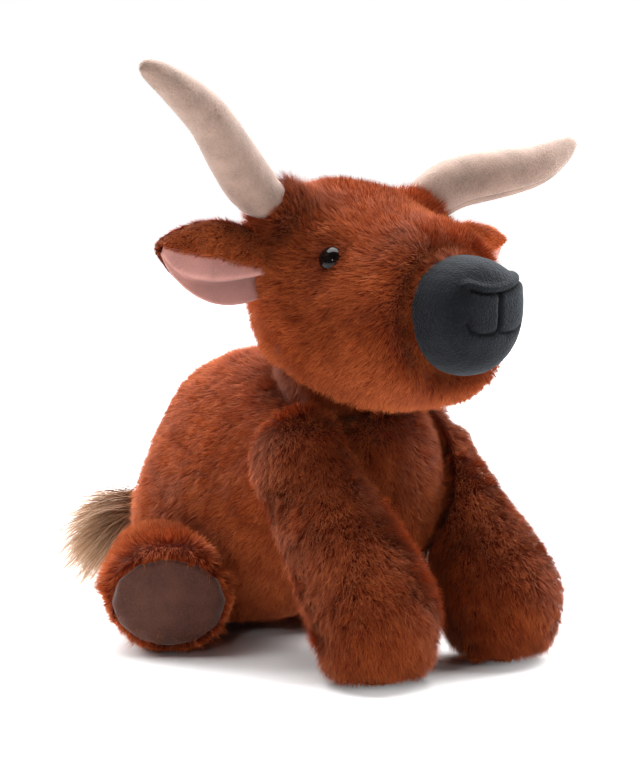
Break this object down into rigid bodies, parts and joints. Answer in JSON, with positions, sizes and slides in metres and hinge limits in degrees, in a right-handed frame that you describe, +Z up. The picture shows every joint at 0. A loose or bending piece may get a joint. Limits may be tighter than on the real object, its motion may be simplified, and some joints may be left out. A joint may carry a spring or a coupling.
{
  "type": "plush cow toy",
  "caption": "Seated stuffed highland cattle toy: rust plush skins over fibre stuffing, curved suede horns, lined ears, velour muzzle and a tasselled tail.",
  "frame": {"origin": "middle of the flat that the rump rests on, on the floor", "axes": "+Z up; the toy faces -Y, so its own right side is -X and its tail points to +Y"},
  "size_m": [0.2866, 0.3004, 0.2904],
  "materials": {
    "plush": "medium pile plush",
    "stuffing": "polyester fibre",
    "bag_cloth": "plain woven bag of pellets",
    "velour": "short velour",
    "eye_gloss": "gloss",
    "washer_plastic": "matte",
    "horn_suede": "brushed suede",
    "pink_lining": "short nap",
    "sole_suede": "brushed suede",
    "tassel_hair": "long pile hair"
  },
  "bodies": {
    "body": {"body_skin": "plush", "body_stuffing": "stuffing", "pellet_bag": "bag_cloth"},
    "neck": {"neck_skin": "plush", "neck_stuffing": "stuffing"},
    "head": {"head_skin": "plush", "head_stuffing": "stuffing", "muzzle_cover": "velour", "nose_panel": "velour", "eye_right": "eye_gloss", "eye_left": "eye_gloss", "eye_washer_right": "washer_plastic", "eye_washer_left": "washer_plastic"},
    "horn_right": {"horn_skin_right": "horn_suede", "horn_stuffing_right": "stuffing"},
    "horn_left": {"horn_skin_left": "horn_suede", "horn_stuffing_left": "stuffing"},
    "ear_right": {"ear_back_right": "plush", "ear_lining_right": "pink_lining"},
    "ear_left": {"ear_back_left": "plush", "ear_lining_left": "pink_lining"},
    "front_leg_right": {"front_leg_skin_right": "plush", "front_leg_stuffing_right": "stuffing", "front_sole_right": "sole_suede"},
    "front_leg_left": {"front_leg_skin_left": "plush", "front_leg_stuffing_left": "stuffing", "front_sole_left": "sole_suede"},
    "hind_leg_right": {"hind_leg_skin_right": "plush", "hind_leg_stuffing_right": "stuffing", "hind_sole_right": "sole_suede"},
    "hind_leg_left": {"hind_leg_skin_left": "plush", "hind_leg_stuffing_left": "stuffing", "hind_sole_left": "sole_suede"},
    "tail": {"tail_sleeve": "plush", "tail_tassel": "tassel_hair"}
  },
  "joints": [
    {"name": "neck_turn", "type": "hinge", "parent": "body", "child": "neck", "pos_m": [0, -0.091, 0.139], "axis": [0, -0.2419, 0.9703], "range_deg": [-20, 20]},
    {"name": "neck_nod", "type": "hinge", "parent": "neck", "child": "head", "pos_m": [0, -0.091, 0.139], "axis": [1, 0, 0], "range_deg": [-8, 6]},
    {"name": "horn_bend_right", "type": "hinge", "parent": "head", "child": "horn_right", "pos_m": [-0.03806, -0.089, 0.21614], "axis": [0, 1, 0], "range_deg": [-6, 6], "stiffness_Nm_per_rad": 0.1},
    {"name": "horn_bend_left", "type": "hinge", "parent": "head", "child": "horn_left", "pos_m": [0.04349, -0.089, 0.20757], "axis": [0, 1, 0], "range_deg": [-6, 6], "stiffness_Nm_per_rad": 0.1},
    {"name": "ear_fold_right", "type": "hinge", "parent": "head", "child": "ear_right", "pos_m": [-0.03999, -0.084, 0.18819], "axis": [0.1045, 0, 0.9945], "range_deg": [-18, 18], "stiffness_Nm_per_rad": 0.02},
    {"name": "ear_fold_left", "type": "hinge", "parent": "head", "child": "ear_left", "pos_m": [0.03957, -0.084, 0.17983], "axis": [0.1045, 0, 0.9945], "range_deg": [-11, 18], "stiffness_Nm_per_rad": 0.02},
    {"name": "front_leg_swing_right", "type": "hinge", "parent": "body", "child": "front_leg_right", "pos_m": [-0.0375, -0.103, 0.1], "axis": [1, 0, 0], "range_deg": [-22, 7]},
    {"name": "front_leg_swing_left", "type": "hinge", "parent": "body", "child": "front_leg_left", "pos_m": [0.0375, -0.103, 0.1], "axis": [1, 0, 0], "range_deg": [-22, 7]},
    {"name": "hind_leg_splay_right", "type": "hinge", "parent": "body", "child": "hind_leg_right", "pos_m": [-0.026, 0.009, 0.036], "axis": [0, 0, 1], "range_deg": [-11, 4]},
    {"name": "hind_leg_splay_left", "type": "hinge", "parent": "body", "child": "hind_leg_left", "pos_m": [0.026, 0.009, 0.036], "axis": [0, 0, 1], "range_deg": [-4, 11]},
    {"name": "tail_swing", "type": "hinge", "parent": "body", "child": "tail", "pos_m": [0, 0.0484, 0.056], "axis": [0, 0, 1], "range_deg": [-25, 25]}
  ]
}
